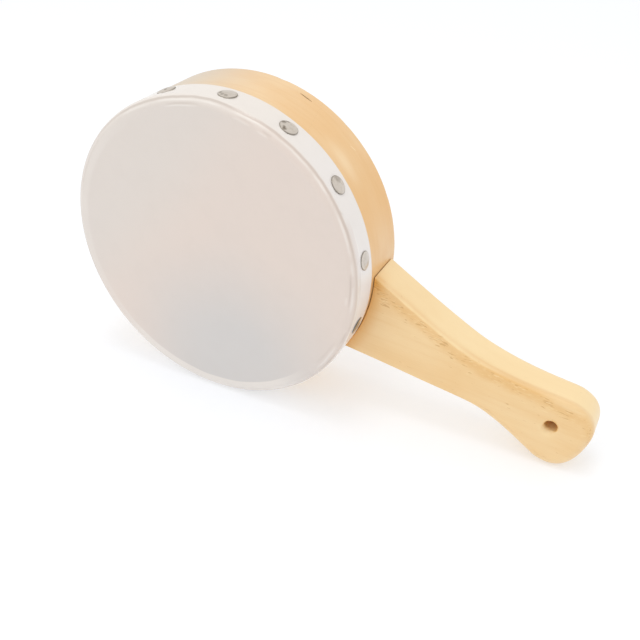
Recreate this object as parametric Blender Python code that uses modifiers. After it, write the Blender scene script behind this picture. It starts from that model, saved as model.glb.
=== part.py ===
"""A hand drum on a wooden handle, standing on its rim and on the end of the handle.

Each piece is drawn as if the drum lay on its back: x runs along the ground, y runs up the standing
drum, and z points out of the head. The parent empty then tips everything up onto the rim, so that
local y becomes world +Z and local z becomes world -Y. Local z = 0 is the plane of the tack row.
"""

from math import cos, pi, radians, sin

import bmesh
import bpy
from mathutils import Matrix, Vector

# Driving dimensions, in metres.
HEAD_RADIUS = 0.075       # outside of the film where it wraps the shell
FILM = 0.0003             # thickness of the head's film
GAP = 0.0003              # clearance between pieces that touch
DEPTH = 0.0468            # face of the head to the open back of the shell
WALL = 0.0065             # thickness of the shell's wood
SHOULDER = 0.0043         # radius of the film's bend from the face to the side
BAND = 0.018              # how far the film wraps back from the face
TACK_ROW = 0.0114         # distance of the tack row from the face
BACK_ROUND = 0.0016       # rounding of the shell's back edges
BEARING_ROUND = 0.0008    # rounding of the bearing edge's inner corner

TACK_RADIUS = 0.0043
TACK_HEIGHT = 0.0010      # height of a tack's dome
TACK_RIM = 0.00025        # thickness of a tack's rim
TACKS_OVER_THE_TOP = (108.8, 84.5, 61.1, 37.2, 10.1, -16.7)   # degrees up from the ground's +x
FOOT = -90.0              # direction of the spot that the drum stands on, in degrees
FOOT_CLEARANCE = 13.5     # the tacks next to the foot lie this many degrees to either side
TACKS_BELOW_HANDLE = 1    # between the last tack above and the foot
TACKS_UP_THE_FAR_SIDE = 5  # between the foot and the first tack above

HANDLE_FRONT = 0.0216     # distance of the handle's front face behind the head's face
HANDLE_THICKNESS = 0.0205
HANDLE_DROOP = radians(19.9)
HANDLE_ROOT = 0.064       # where the outline starts, inside the shell's circle
HANDLE_TIP = Vector((0.1897, 0.0003))
END_FULLNESS = 0.69       # Bezier handle of the round end, as a share of its size
EDGE_ROUND_ROOT = 0.0009  # rounding of the handle's long edges at the drum
EDGE_ROUND_END = 0.0057   # and at the free end
EDGE_ROUND_FROM = 0.108   # distance from the drum's axis where the rounding starts to grow
EDGE_ROUND_TO = 0.172     # and where it is full
HOLE_RADIUS = 0.0032
HOLE_CENTRE = Vector((0.1714, 0.0034))

SEGMENTS = 98             # sides of the shell and head; 4 k + 2 puts a flat one at the foot
ARC_STEPS = 5             # steps of a quarter turn in a turned profile
TACK_SEGMENTS = 16
TACK_ARC_STEPS = 4
HOLE_SEGMENTS = 24
OUTLINE_STEPS = 8         # steps of each Bezier stretch of the handle's outline
MERGE = 0.00001

FOOT_HEIGHT = HEAD_RADIUS * cos(pi / SEGMENTS)   # drum axis above the ground
SHELL_RADIUS = HEAD_RADIUS - FILM - GAP
FACE_Z = TACK_ROW
BAND_Z = FACE_Z - BAND
SHELL_TOP_Z = FACE_Z - FILM - GAP
SHELL_BACK_Z = FACE_Z - DEPTH


def clear_scene():
    for thing in list(bpy.data.objects):
        bpy.data.objects.remove(thing, do_unlink=True)


def new_collection(name):
    collection = bpy.data.collections.new(name)
    bpy.context.scene.collection.children.link(collection)
    return collection


def material(name, colour, roughness, metallic=0.0):
    made = bpy.data.materials.new(name)
    made.use_nodes = True
    shader = made.node_tree.nodes["Principled BSDF"]
    shader.inputs["Base Color"].default_value = (*colour, 1.0)
    shader.inputs["Roughness"].default_value = roughness
    shader.inputs["Metallic"].default_value = metallic
    made.diffuse_color = (*colour, 1.0)
    return made


def put(name, mesh, collection, parent, finish=None):
    thing = bpy.data.objects.new(name, mesh)
    collection.objects.link(thing)
    thing.parent = parent
    if finish and not mesh.materials:
        mesh.materials.append(finish)
    return thing


def hide_cutter(cutter):
    cutter.hide_render = True
    cutter.display_type = 'WIRE'


def quarter_arc(centre, radius, start, steps):
    """Points of a clockwise quarter turn from the direction start, in degrees, around centre."""
    angles = [radians(start - 90.0 * step / steps) for step in range(steps + 1)]
    return [centre + radius * Vector((cos(angle), sin(angle))) for angle in angles]


def profile_mesh(name, points, closed):
    """A chain of edges in the x, z plane."""
    edges = [(i, i + 1) for i in range(len(points) - 1)]
    if closed:
        edges.append((len(points) - 1, 0))
    mesh = bpy.data.meshes.new(name)
    mesh.from_pydata([(point.x, 0.0, point.y) for point in points], edges, [])
    return mesh


def turn(thing, steps):
    """Turn a profile around its local z axis."""
    screw = thing.modifiers.new("turned", 'SCREW')
    screw.axis = 'Z'
    screw.steps = steps
    screw.render_steps = steps
    screw.use_merge_vertices = True
    screw.merge_threshold = MERGE
    screw.use_smooth_shade = True


def make_shell(collection, parent):
    """The wooden ring: bearing edge rounded outwards under the film, open back lightly eased."""
    outer, inner = SHELL_RADIUS, SHELL_RADIUS - WALL
    bearing = SHOULDER - FILM - GAP
    points = quarter_arc(Vector((outer - bearing, SHELL_TOP_Z - bearing)), bearing, 90, ARC_STEPS)
    points += quarter_arc(Vector((outer - BACK_ROUND, SHELL_BACK_Z + BACK_ROUND)), BACK_ROUND, 0, 3)
    points += quarter_arc(Vector((inner + BACK_ROUND, SHELL_BACK_Z + BACK_ROUND)), BACK_ROUND, -90, 3)
    points += quarter_arc(Vector((inner + BEARING_ROUND, SHELL_TOP_Z - BEARING_ROUND)), BEARING_ROUND, 180, 2)
    finish = material("shell_wood", (0.72, 0.47, 0.22), 0.38)
    shell = put("shell", profile_mesh("shell", points, closed=True), collection, parent, finish)
    turn(shell, SEGMENTS)
    return shell


def make_head(collection, parent):
    """The film: a flat disc, a rounded shoulder and the band that wraps back over the shell."""
    points = [Vector((0.0, FACE_Z))]
    points += quarter_arc(Vector((HEAD_RADIUS - SHOULDER, FACE_Z - SHOULDER)), SHOULDER, 90, ARC_STEPS)
    points.append(Vector((HEAD_RADIUS, BAND_Z)))
    finish = material("head_film", (0.76, 0.70, 0.64), 0.35)
    head = put("drum_head", profile_mesh("drum_head", points, closed=False), collection, parent, finish)
    turn(head, SEGMENTS)
    thickness = head.modifiers.new("thickness", 'SOLIDIFY')
    thickness.thickness = FILM
    thickness.offset = -1.0
    thickness.use_even_offset = True
    return head


def tack_angles():
    """Directions of all tacks round the drum, in degrees, with none under the foot."""
    first, last = TACKS_OVER_THE_TOP[0], TACKS_OVER_THE_TOP[-1]
    before_foot = FOOT + FOOT_CLEARANCE
    behind_foot = FOOT - FOOT_CLEARANCE
    angles = list(TACKS_OVER_THE_TOP)
    step = (before_foot - last) / (TACKS_BELOW_HANDLE + 1)
    angles += [last + step * (i + 1) for i in range(TACKS_BELOW_HANDLE)]
    angles += [before_foot, behind_foot]
    step = (first - 360.0 - behind_foot) / (TACKS_UP_THE_FAR_SIDE + 1)
    angles += [behind_foot + step * (i + 1) for i in range(TACKS_UP_THE_FAR_SIDE)]
    return angles


def make_tacks(collection, parent):
    """Domed heads on the band, all alike, each facing outwards."""
    cap_radius = (TACK_RADIUS ** 2 + TACK_HEIGHT ** 2) / (2.0 * TACK_HEIGHT)
    points = []
    for step in range(TACK_ARC_STEPS + 1):
        reach = TACK_RADIUS * step / TACK_ARC_STEPS
        height = (cap_radius ** 2 - reach ** 2) ** 0.5 - cap_radius + TACK_HEIGHT
        points.append(Vector((reach, height + TACK_RIM)))
    points += [Vector((TACK_RADIUS, 0.0)), Vector((0.0, 0.0))]
    finish = material("tack_metal", (0.62, 0.60, 0.56), 0.28, 1.0)
    mesh = profile_mesh("tack", points, closed=False)
    for number, angle in enumerate(tack_angles(), start=1):
        tack = put(f"tack_{number:02d}", mesh, collection, parent, finish)
        turn(tack, TACK_SEGMENTS)
        spin = Matrix.Rotation(radians(angle), 4, 'Z')
        lay_outwards = Matrix.Rotation(radians(90), 4, 'Y')
        tack.matrix_local = spin @ Matrix.Translation((HEAD_RADIUS + GAP, 0, 0)) @ lay_outwards


def outline_curve(stations):
    """A closed flat Bezier outline; a station is its point and the vectors to its two handles."""
    curve = bpy.data.curves.new("handle_outline", 'CURVE')
    curve.dimensions = '2D'
    curve.fill_mode = 'BOTH'
    curve.extrude = HANDLE_THICKNESS / 2
    curve.resolution_u = OUTLINE_STEPS
    spline = curve.splines.new('BEZIER')
    spline.bezier_points.add(len(stations) - 1)
    for bezier, (point, before, after) in zip(spline.bezier_points, stations):
        bezier.handle_left_type = bezier.handle_right_type = 'FREE'
        bezier.co = (*point, 0.0)
        bezier.handle_left = (*(point + before), 0.0)
        bezier.handle_right = (*(point + after), 0.0)
    spline.use_cyclic_u = True
    return curve


def handle_stations():
    """The outline from the drum along the upper edge, round the end and back along the lower one.

    Both edges draw in from the drum to a waist and swell again to the bulb. The waist lies a little
    nearer the drum on the upper edge, which gives the handle a slight bend.
    """
    upper_root = Vector((HANDLE_ROOT, 0.0230))
    upper_waist = Vector((0.1271, 0.0122))
    upper_bulb = Vector((0.1747, 0.01935))
    lower_bulb = Vector((0.1751, -0.01875))
    lower_waist = Vector((0.1389, -0.01115))
    lower_root = Vector((HANDLE_ROOT, -0.0239))
    upper_end = END_FULLNESS * (HANDLE_TIP - upper_bulb)
    lower_end = END_FULLNESS * (HANDLE_TIP - lower_bulb)
    along = Vector((1.0, 0.0))
    still = Vector((0.0, 0.0))
    return [
        (upper_root, still, Vector((0.0200, -0.0039))),
        (upper_waist, -0.0142 * along, 0.0227 * along),
        (upper_bulb, -0.0050 * along, Vector((upper_end.x, 0.0))),
        (HANDLE_TIP, Vector((0.0, -upper_end.y)), Vector((0.0, -lower_end.y))),
        (lower_bulb, Vector((lower_end.x, 0.0)), -0.0050 * along),
        (lower_waist, 0.0122 * along, -0.0117 * along),
        (lower_root, Vector((0.0200, 0.0042)), still),
    ]


def as_mesh(thing):
    """Replace a curve by its mesh with its caps welded and each flat face in one piece."""
    made = bpy.data.meshes.new_from_object(thing.evaluated_get(bpy.context.evaluated_depsgraph_get()))
    solid = bmesh.new()
    solid.from_mesh(made)
    bmesh.ops.remove_doubles(solid, verts=solid.verts, dist=MERGE)
    bmesh.ops.dissolve_limit(solid, angle_limit=radians(0.5), verts=solid.verts, edges=solid.edges)
    bmesh.ops.recalc_face_normals(solid, faces=solid.faces)
    solid.to_mesh(made)
    solid.free()
    bpy.data.objects.remove(thing)
    return made


def edge_round(reach):
    """Rounding of the handle's long edges at this distance from the drum's axis."""
    grown = min(max((reach - EDGE_ROUND_FROM) / (EDGE_ROUND_TO - EDGE_ROUND_FROM), 0.0), 1.0)
    grown = grown * grown * (3.0 - 2.0 * grown)
    return EDGE_ROUND_ROOT + (EDGE_ROUND_END - EDGE_ROUND_ROOT) * grown


def weigh_long_edges(mesh):
    """Bevel weights for the edges that run round the two broad faces."""
    weights = mesh.attributes.new("bevel_weight_edge", 'FLOAT', 'EDGE')
    for edge in mesh.edges:
        a, b = (mesh.vertices[i].co for i in edge.vertices)
        if abs(a.z - b.z) < MERGE:
            weights.data[edge.index].value = edge_round((a.x + b.x) / 2) / EDGE_ROUND_END


def cylinder(name, radius, length, segments, collection, parent):
    solid = bmesh.new()
    bmesh.ops.create_cone(solid, cap_ends=True, segments=segments,
                          radius1=radius, radius2=radius, depth=length)
    mesh = bpy.data.meshes.new(name)
    solid.to_mesh(mesh)
    solid.free()
    made = put(name, mesh, collection, parent)
    hide_cutter(made)
    return made


def cut(thing, cutter, name):
    boolean = thing.modifiers.new(name, 'BOOLEAN')
    boolean.operation = 'DIFFERENCE'
    boolean.solver = 'EXACT'
    boolean.object = cutter


def make_handle(collection, cutters, parent):
    """A waisted board, cut to fit the shell, resting on the underside of its bulb."""
    curve = outline_curve(handle_stations())
    drawn = bpy.data.objects.new("handle_outline", curve)
    collection.objects.link(drawn)
    mesh = as_mesh(drawn)
    mesh.name = "handle"

    lowest = min(v.co.y * cos(HANDLE_DROOP) - v.co.x * sin(HANDLE_DROOP) for v in mesh.vertices)
    lift = -(FOOT_HEIGHT + lowest) / cos(HANDLE_DROOP)
    middle_z = FACE_Z - HANDLE_FRONT - HANDLE_THICKNESS / 2
    place = Matrix.Rotation(-HANDLE_DROOP, 4, 'Z') @ Matrix.Translation((0.0, lift, middle_z))

    weigh_long_edges(mesh)
    handle = put("handle", mesh, collection, parent, material("handle_wood", (0.80, 0.56, 0.29), 0.42))
    handle.matrix_local = place
    rounding = handle.modifiers.new("eased edges", 'BEVEL')
    rounding.limit_method = 'WEIGHT'
    rounding.width = EDGE_ROUND_END
    rounding.segments = 4
    rounding.use_clamp_overlap = False

    seat = cylinder("shell_seat", SHELL_RADIUS + GAP, 2 * DEPTH, SEGMENTS, cutters, parent)
    seat.matrix_local = Matrix.Rotation(pi / SEGMENTS, 4, 'Z')
    cut(handle, seat, "seat on the shell")
    hole = cylinder("hanging_hole", HOLE_RADIUS, 2 * HANDLE_THICKNESS, HOLE_SEGMENTS, cutters, parent)
    hole.matrix_local = place @ Matrix.Translation((*HOLE_CENTRE, 0.0))
    cut(handle, hole, "hanging hole")
    return handle


def build():
    clear_scene()
    drum = new_collection("hand_drum")
    cutters = new_collection("cutters")
    stand = bpy.data.objects.new("standing_drum", None)
    drum.objects.link(stand)
    stand.location = (0.0, 0.0, FOOT_HEIGHT)
    stand.rotation_euler = (radians(90), 0.0, 0.0)

    make_shell(drum, stand)
    make_head(drum, stand)
    make_tacks(drum, stand)
    make_handle(drum, cutters, stand)


build()
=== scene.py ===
"""The looks of a small hand drum on a wooden handle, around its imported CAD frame.

Everything is in metres in the frame of the CAD: the drum's axis lies along Y, the head faces -Y, and
the handle droops towards +X. Angles round the drum are counted from +X towards +Z.
"""

import random
from bisect import bisect
from math import atan2, cos, degrees, dist, exp, hypot, pi, radians, sin, sqrt

import bmesh
import bpy
from mathutils import Matrix, Vector, noise


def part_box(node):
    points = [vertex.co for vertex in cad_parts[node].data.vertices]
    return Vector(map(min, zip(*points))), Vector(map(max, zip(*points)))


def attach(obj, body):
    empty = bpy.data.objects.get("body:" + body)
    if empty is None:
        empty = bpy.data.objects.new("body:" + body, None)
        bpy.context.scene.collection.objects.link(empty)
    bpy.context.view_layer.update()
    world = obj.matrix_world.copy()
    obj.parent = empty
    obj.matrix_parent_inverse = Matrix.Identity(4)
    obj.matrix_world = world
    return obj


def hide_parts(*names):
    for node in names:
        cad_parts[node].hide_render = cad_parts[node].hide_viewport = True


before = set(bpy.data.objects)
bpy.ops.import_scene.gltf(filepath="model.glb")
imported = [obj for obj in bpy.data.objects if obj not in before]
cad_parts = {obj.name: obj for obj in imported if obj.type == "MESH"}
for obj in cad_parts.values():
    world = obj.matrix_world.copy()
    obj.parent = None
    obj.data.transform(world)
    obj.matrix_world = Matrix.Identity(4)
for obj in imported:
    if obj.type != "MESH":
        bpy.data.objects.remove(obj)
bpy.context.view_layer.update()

MM = 0.001

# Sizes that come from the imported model, and a little room inside its box for the film's relief.
FACE_ROOM = 0.10 * MM
SIDE_ROOM = 0.05 * MM
HEAD_LOW, HEAD_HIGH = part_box("drum_head")
_, SHELL_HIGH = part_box("shell")
HANDLE_LOW, HANDLE_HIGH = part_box("handle")
AXIS_HEIGHT = (HEAD_LOW[2] + HEAD_HIGH[2]) / 2
FACE_Y = HEAD_LOW[1] + FACE_ROOM
BAND_END_Y = HEAD_HIGH[1]
SHELL_BACK_Y = SHELL_HIGH[1]
HEAD_RADIUS = AXIS_HEIGHT - HEAD_LOW[2] - SIDE_ROOM
HANDLE_THICKNESS = HANDLE_HIGH[1] - HANDLE_LOW[1]
HANDLE_MIDDLE_Y = (HANDLE_HIGH[1] + HANDLE_LOW[1]) / 2
TACKS = sorted(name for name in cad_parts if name.startswith("tack_"))

# The film and the shell under it.
FILM_THICKNESS = 0.32 * MM
SIDE_GAP = 0.06 * MM
FRONT_GAP = 0.25 * MM
SHOULDER = 4.3 * MM  # radius of the film's bend over the ring's front edge
SHELL_RADIUS = HEAD_RADIUS - FILM_THICKNESS - SIDE_GAP
SHELL_FRONT_Y = FACE_Y + FILM_THICKNESS + FRONT_GAP
WALL = 6.5 * MM
# Roundings of the wall's edges; the bearing edge is the outer one under the film.
BEARING_ROUND = 4.6 * MM
OUTER_BACK_ROUND = 1.7 * MM
INNER_BACK_ROUND = 1.0 * MM
INNER_FRONT_ROUND = 1.2 * MM

# The handle, in its own frame: u runs out along the handle, v up across it.
DROOP = radians(19.9)
HANDLE_LIFT = 3.4 * MM
SEAT_GAP = 0.20 * MM
# The handle's edge is broken a little where it meets the shell, over this share of its length.
SEAT_EASE = 0.26 * MM
SEAT_EASE_SHARE = 0.0024
HALF_HEIGHT_AT_SEAT = 21.0 * MM
EDGE_ROUND_ROOT = 0.8 * MM
EDGE_ROUND_END = 5.7 * MM
FRONT_ROUND_END = 2.3 * MM  # the upper front edge stays tighter
TIP_ROUND = 4.6 * MM
EDGE_ROUND_FROM = 0.108
EDGE_ROUND_TO = 0.172
HOLE_RADIUS = 3.1 * MM
HOLE_CENTRE = (0.1714, 0.0034)
# The hole's edge is broken all round, and worn most in one direction.
HOLE_EASE = 0.36 * MM
HOLE_WEAR = 2.60 * MM
HOLE_WORN = radians(258.0)
GRAIN_SLOPE = radians(13)  # the handle's grain runs out over its upper edge


# ---------------- small helpers

def clamp(value, low=0.0, high=1.0):
    return min(max(value, low), high)


def lerp(a, b, share):
    return a + (b - a) * share


def smooth(low, high, value):
    share = clamp((value - low) / (high - low))
    return share * share * (3.0 - 2.0 * share)


def within(low, full_low, full_high, high, value):
    """1 from full_low to full_high, easing to 0 at low and at high."""
    return smooth(low, full_low, value) * smooth(high, full_high, value)


def bell(distance, width):
    return exp(-0.5 * (distance / width) ** 2)


def wobble(x, y=0.0, z=0.0):
    """Smooth noise between -1 and 1."""
    return noise.noise(Vector((x, y, z)))


def around(angle, radius, seed):
    """Smooth noise that closes on itself round the drum."""
    return wobble(radius * cos(angle), radius * sin(angle), seed)


def turn_between(angle, centre):
    """Signed difference of two angles in degrees, between -180 and 180."""
    return (angle - centre + 180.0) % 360.0 - 180.0


def line_through(points, value, soft=True):
    """Height at a place on a line through (place, height) points in order; soft rounds its corners."""
    if value <= points[0][0]:
        return points[0][1]
    for (x0, y0), (x1, y1) in zip(points, points[1:]):
        if value <= x1:
            return lerp(y0, y1, smooth(x0, x1, value) if soft else clamp((value - x0) / (x1 - x0)))
    return points[-1][1]


def steps(low, high, count, first=1):
    """Even steps from low to high; low itself is left out unless first is 0."""
    return [lerp(low, high, i / count) for i in range(first, count + 1)]


def on_drum(radius, angle, y):
    return Vector((radius * cos(angle), y, AXIS_HEIGHT + radius * sin(angle)))


# ---------------- material nodes

class Nodes:
    """Short ways to add nodes to a material, or to the world behind it."""

    def __init__(self, owner, shader="Principled BSDF"):
        owner.use_nodes = True
        self.owner = owner
        self.tree = owner.node_tree
        self.shader = self.tree.nodes[shader]

    def add(self, kind, inputs=None, **settings):
        made = self.tree.nodes.new(kind)
        for name, value in settings.items():
            setattr(made, name, value)
        for name, value in (inputs or {}).items():
            self.feed(made.inputs[name], value)
        return made

    def feed(self, socket, value):
        if isinstance(value, bpy.types.NodeSocket):
            self.tree.links.new(value, socket)
        else:
            socket.default_value = value

    def math(self, operation, a, b=0.0):
        return self.add("ShaderNodeMath", {0: a, 1: b}, operation=operation).outputs[0]

    def scaled(self, value, factor, offset):
        """The value times the factor, plus the offset."""
        made = self.add("ShaderNodeMath", {0: value, 1: factor, 2: offset}, operation='MULTIPLY_ADD')
        return made.outputs[0]

    def mix(self, share, a, b):
        made = self.add("ShaderNodeMix", data_type='RGBA', clamp_factor=True)
        self.feed(made.inputs[0], share)
        self.feed(made.inputs[6], a)
        self.feed(made.inputs[7], b)
        return made.outputs[2]

    def tinted(self, colour, *tints):
        """The colour with tones laid over it: each by a share, or a mark's name, times a strength."""
        for share, strength, tone in tints:
            if isinstance(share, str):
                share = self.attribute(share)
            colour = self.mix(self.math('MULTIPLY', share, strength), colour, linear(*tone))
        return colour

    def between(self, value, low, high, to_low=0.0, to_high=1.0):
        """A smooth step of value from low to high."""
        inputs = {"Value": value, "From Min": low, "From Max": high, "To Min": to_low, "To Max": to_high}
        made = self.add("ShaderNodeMapRange", inputs, interpolation_type='SMOOTHSTEP')
        return made.outputs["Result"]

    def attribute(self, name, vector=False):
        made = self.add("ShaderNodeAttribute", attribute_name=name)
        return made.outputs["Vector" if vector else "Fac"]

    def place(self):
        return self.add("ShaderNodeTexCoord").outputs["Object"]

    def noise(self, vector, scale, detail=3.0, roughness=0.55, distortion=0.0):
        """Noise with its own scale along each axis."""
        scaled = self.add("ShaderNodeVectorMath", {0: vector, 1: scale}, operation='MULTIPLY')
        inputs = {"Vector": scaled.outputs[0], "Scale": 1.0, "Detail": detail, "Roughness": roughness,
                  "Distortion": distortion}
        return self.add("ShaderNodeTexNoise", inputs).outputs["Fac"]

    def bump(self, height, distance, strength=1.0, normal=None):
        inputs = {"Height": height, "Distance": distance, "Strength": strength}
        if normal is not None:
            inputs["Normal"] = normal
        return self.add("ShaderNodeBump", inputs).outputs["Normal"]

    def set(self, **sockets):
        for name, value in sockets.items():
            self.feed(self.shader.inputs[name.replace("_", " ")], value)


def linear(red, green, blue):
    """A colour from its everyday 0 to 255 values."""
    def one(value):
        value /= 255.0
        return value / 12.92 if value <= 0.04045 else ((value + 0.055) / 1.055) ** 2.4
    return (one(red), one(green), one(blue), 1.0)


# ---------------- meshes

def placed(name, data):
    """A new object in the scene."""
    made = bpy.data.objects.new(name, data)
    bpy.context.scene.collection.objects.link(made)
    return made


def mesh_from(name, points, faces):
    mesh = bpy.data.meshes.new(name)
    mesh.from_pydata([tuple(point) for point in points], [], faces)
    return mesh


def faces_between(columns, count, closed=False):
    """Faces of a turned form, between neighbouring columns of points; closed where a column is a loop."""
    faces = []
    for i in range(columns):
        after = (i + 1) % columns
        for j in range(count if closed else count - 1):
            below = (j + 1) % count
            faces.append((i * count + j, after * count + j, after * count + below, i * count + below))
    return faces


def store(mesh, marks):
    """Keep each vertex's numbers under their names, for the material to read."""
    for name in marks[0]:
        values = [mark[name] for mark in marks]
        mesh.attributes.new(name, 'FLOAT', 'POINT').data.foreach_set("value", values)


def store_vectors(mesh, name, values, domain='POINT'):
    flat = [part for value in values for part in value]
    mesh.attributes.new(name, 'FLOAT_VECTOR', domain).data.foreach_set("vector", flat)


def weld(mesh, distance=0.001 * MM):
    solid = bmesh.new()
    solid.from_mesh(mesh)
    bmesh.ops.remove_doubles(solid, verts=solid.verts, dist=distance)
    bmesh.ops.recalc_face_normals(solid, faces=solid.faces)
    solid.to_mesh(mesh)
    solid.free()


def add_piece(name, mesh, material, slot, *nodes):
    """A visible piece in place of the CAD nodes that it stands for."""
    piece = placed(name, mesh)
    mesh.materials.append(material)
    for polygon in mesh.polygons:
        polygon.use_smooth = True
    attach(piece, "root")
    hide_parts(*nodes)
    return piece


def sharpen(piece, angle):
    """Keep edges crisp where faces meet at more than this angle."""
    piece.data.set_sharp_from_angle(angle=angle)


def weigh_normals(piece):
    """Broad flat faces stay flat beside narrow roundings."""
    made = piece.modifiers.new("flat faces stay flat", 'WEIGHTED_NORMAL')
    made.keep_sharp = True
    made.weight = 60


# ---------------- the shell

SLIT_FROM, SLIT_TO = 69.5, 64.5  # a short crack along the bent wood, in degrees
SLIT_Y_FROM, SLIT_Y_TO = 0.02975, 0.02905
SLIT_WIDTH = 0.24 * MM
SLIT_DEPTH = 0.9 * MM
FINE_ROWS = (0.0280, 0.0308)  # over the crack, between these y, the rows are closer together
SCARF_ANGLE = -128.0  # where the bent strip's ends are glued together
SCARF_SLANT = 9.0
# Dents in the ring's back edge: direction and half-width in degrees, and depth as a share of the full one.
NICKS = ((78.6, 0.8, 0.7), (51.0, 0.6, 0.35), (23.0, 0.9, 0.3), (140.0, 1.1, 0.5), (-35.0, 0.8, 0.4))
NICK_DEPTH = 0.35 * MM
HIGHLIGHT_AT = (42.0, 0.0142)  # direction and y of a painted highlight on the lacquer, a spot painted paler


def shell_angles():
    """All directions of the shell's columns, a degree apart but closer together over the crack."""
    coarse = [SCARF_ANGLE + i for i in range(360)]
    fine = steps(SLIT_FROM + 1.5, SLIT_TO - 1.5, 54, 0)
    low, high = min(fine), max(fine)
    kept = [angle for angle in coarse if not low - 0.4 < angle < high + 0.4]
    return sorted(kept + fine)


def arc(centre, radius, start, end, count):
    """Points of an arc in the (radius, y) plane, from start to end in degrees."""
    angles = [radians(angle) for angle in steps(start, end, count, 0)]
    return [(centre[0] + radius * cos(angle), centre[1] + radius * sin(angle)) for angle in angles]


def shell_profile():
    """The wall's outline from the bearing edge out over the side and back up the inside."""
    outer, inner = SHELL_RADIUS, SHELL_RADIUS - WALL
    side_from, side_to = SHELL_FRONT_Y + BEARING_ROUND, SHELL_BACK_Y - OUTER_BACK_ROUND
    inner_from, inner_to = SHELL_BACK_Y - INNER_BACK_ROUND, SHELL_FRONT_Y + INNER_FRONT_ROUND
    points = arc((outer - BEARING_ROUND, side_from), BEARING_ROUND, -90, 0, 10)
    fine_from, fine_to = FINE_ROWS
    rows = steps(side_from, fine_from, 14) + steps(fine_from, fine_to, 28) + steps(fine_to, side_to, 4)[:-1]
    points += [(outer, y) for y in rows]
    points += arc((outer - OUTER_BACK_ROUND, side_to), OUTER_BACK_ROUND, 0, 90, 8)
    points += arc((inner + INNER_BACK_ROUND, inner_from), INNER_BACK_ROUND, 90, 180, 6)
    points += [(inner, y) for y in steps(inner_from, inner_to, 12)[:-1]]
    points += arc((inner + INNER_FRONT_ROUND, inner_to), INNER_FRONT_ROUND, 180, 270, 5)
    return points


def slit_share(angle, y):
    """How deep the crack is here, from 0 to 1."""
    along = (angle - SLIT_FROM) / (SLIT_TO - SLIT_FROM)
    if not 0.0 < along < 1.0:
        return 0.0
    middle = lerp(SLIT_Y_FROM, SLIT_Y_TO, along) + 0.16 * MM * wobble(along * 5.0, 3.1)
    across = abs(y - middle) / (SLIT_WIDTH * (0.55 + 0.75 * sqrt(sin(pi * along))))
    ragged = clamp(0.85 + 0.9 * wobble(along * 7.0, 8.4))
    return ragged * clamp(1.5 - across)


def make_shell(material):
    """The bent wooden ring with its crack and its glued scarf."""
    profile = shell_profile()
    angles = shell_angles()
    count, columns = len(profile), len(angles)
    points, marks = [], []
    for angle in angles:
        turned = radians(angle)
        for radius, y in profile:
            outside = smooth(SHELL_RADIUS - 2.2 * MM, SHELL_RADIUS - 0.2 * MM, radius)
            wave = 0.045 * MM * around(turned, 5.0, y * 45.0) + 0.02 * MM * around(turned, 16.0, y * 150.0)
            cut = slit_share(angle, y) if outside > 0.99 else 0.0
            nick = rear_nicks(angle, radius, y)
            depth = outside * (0.05 * MM + wave) + SLIT_DEPTH * cut + nick * NICK_DEPTH
            points.append(on_drum(radius - depth, turned, y))
            marks.append({
                "dark": clamp(1.6 * cut + 0.5 * nick),
                # the lacquer's painted highlight
                "pale": outside * painted_highlight_patch(angle, y),
                # painted reflection: the ring's upper left is painted greyer and less warm, for the pale
                # room seen in its lacquer
                "grey": outside * within(76.0, 114.0, 120.0, 164.0, angle),
                "deep": outside * tone_and_shade_share(angle, y),
                "from_scarf": from_scarf(angle, y),
            })
    mesh = mesh_from("shell", points, faces_between(columns, count, closed=True))
    store(mesh, marks)
    grain = []
    for polygon in mesh.polygons:
        last_column = polygon.index // count == columns - 1
        for vertex in polygon.vertices:
            column, row = divmod(vertex, count)
            angle = angles[column] + (360.0 if last_column and column == 0 else 0.0)
            radius, y = profile[row]
            grain.append((radians(angle) * SHELL_RADIUS, y, radius))
    store_vectors(mesh, "grain", grain, 'CORNER')
    weld(mesh)
    return add_piece("shell_ring", mesh, material, "shell_wood", "shell")


def tone_and_shade_share(angle, y):
    """Deeper, yellower: two bands, partly the wood's own tone and partly painted shade, and painted shade
    by the handle.
    """
    bands = 0.20 * smooth(66.0, 50.0, angle)
    bands += 0.40 * bell(angle - 57.0, 7.0) + 1.15 * bell(angle - 22.0, 9.0)
    edge = 3.6 - 3.0 * smooth(0.010, 0.030, y)
    # painted shade in the corner where the ring meets the handle
    beside = within(-60.0, -42.0, edge - 0.5, edge + 0.9, angle)
    beside *= 1.0 - 0.8 * smooth(0.028, 0.034, y)
    return clamp(bands * smooth(-70.0, -30.0, angle) + 1.3 * beside, 0.0, 1.6)


def from_scarf(angle, y):
    """Degrees from the thin glue line where the strip's ends overlap, slanting across the ring."""
    middle = SCARF_ANGLE + 1.0 + SCARF_SLANT * (y - HEAD_LOW[1]) / (SHELL_BACK_Y - HEAD_LOW[1])
    return clamp(turn_between(angle, middle), -20.0, 20.0)


def rear_nicks(angle, radius, y):
    """Small dents in the ring's back edge."""
    near_edge = smooth(SHELL_BACK_Y - 2.6 * MM, SHELL_BACK_Y - 0.5 * MM, y)
    near_edge *= smooth(SHELL_RADIUS - 3.0 * MM, SHELL_RADIUS - 1.0 * MM, radius)
    if near_edge <= 0.0:
        return 0.0
    return near_edge * sum(share * bell(turn_between(angle, at), width) for at, width, share in NICKS)


def painted_highlight_patch(angle, y):
    """A painted highlight: the lacquer's satin sheen, painted a little paler here."""
    at, y_at = HIGHLIGHT_AT
    return 0.75 * bell(turn_between(angle, at), 6.0) * bell(y - y_at, 2.3 * MM)


# ---------------- the head

FACE_EDGE = HEAD_RADIUS - SHOULDER  # where the flat face starts to bend
BEND = SHOULDER * pi / 2
HEAD_END = BEND + BAND_END_Y - FACE_Y - SHOULDER  # the band's end, along the film past the face's edge
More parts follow.
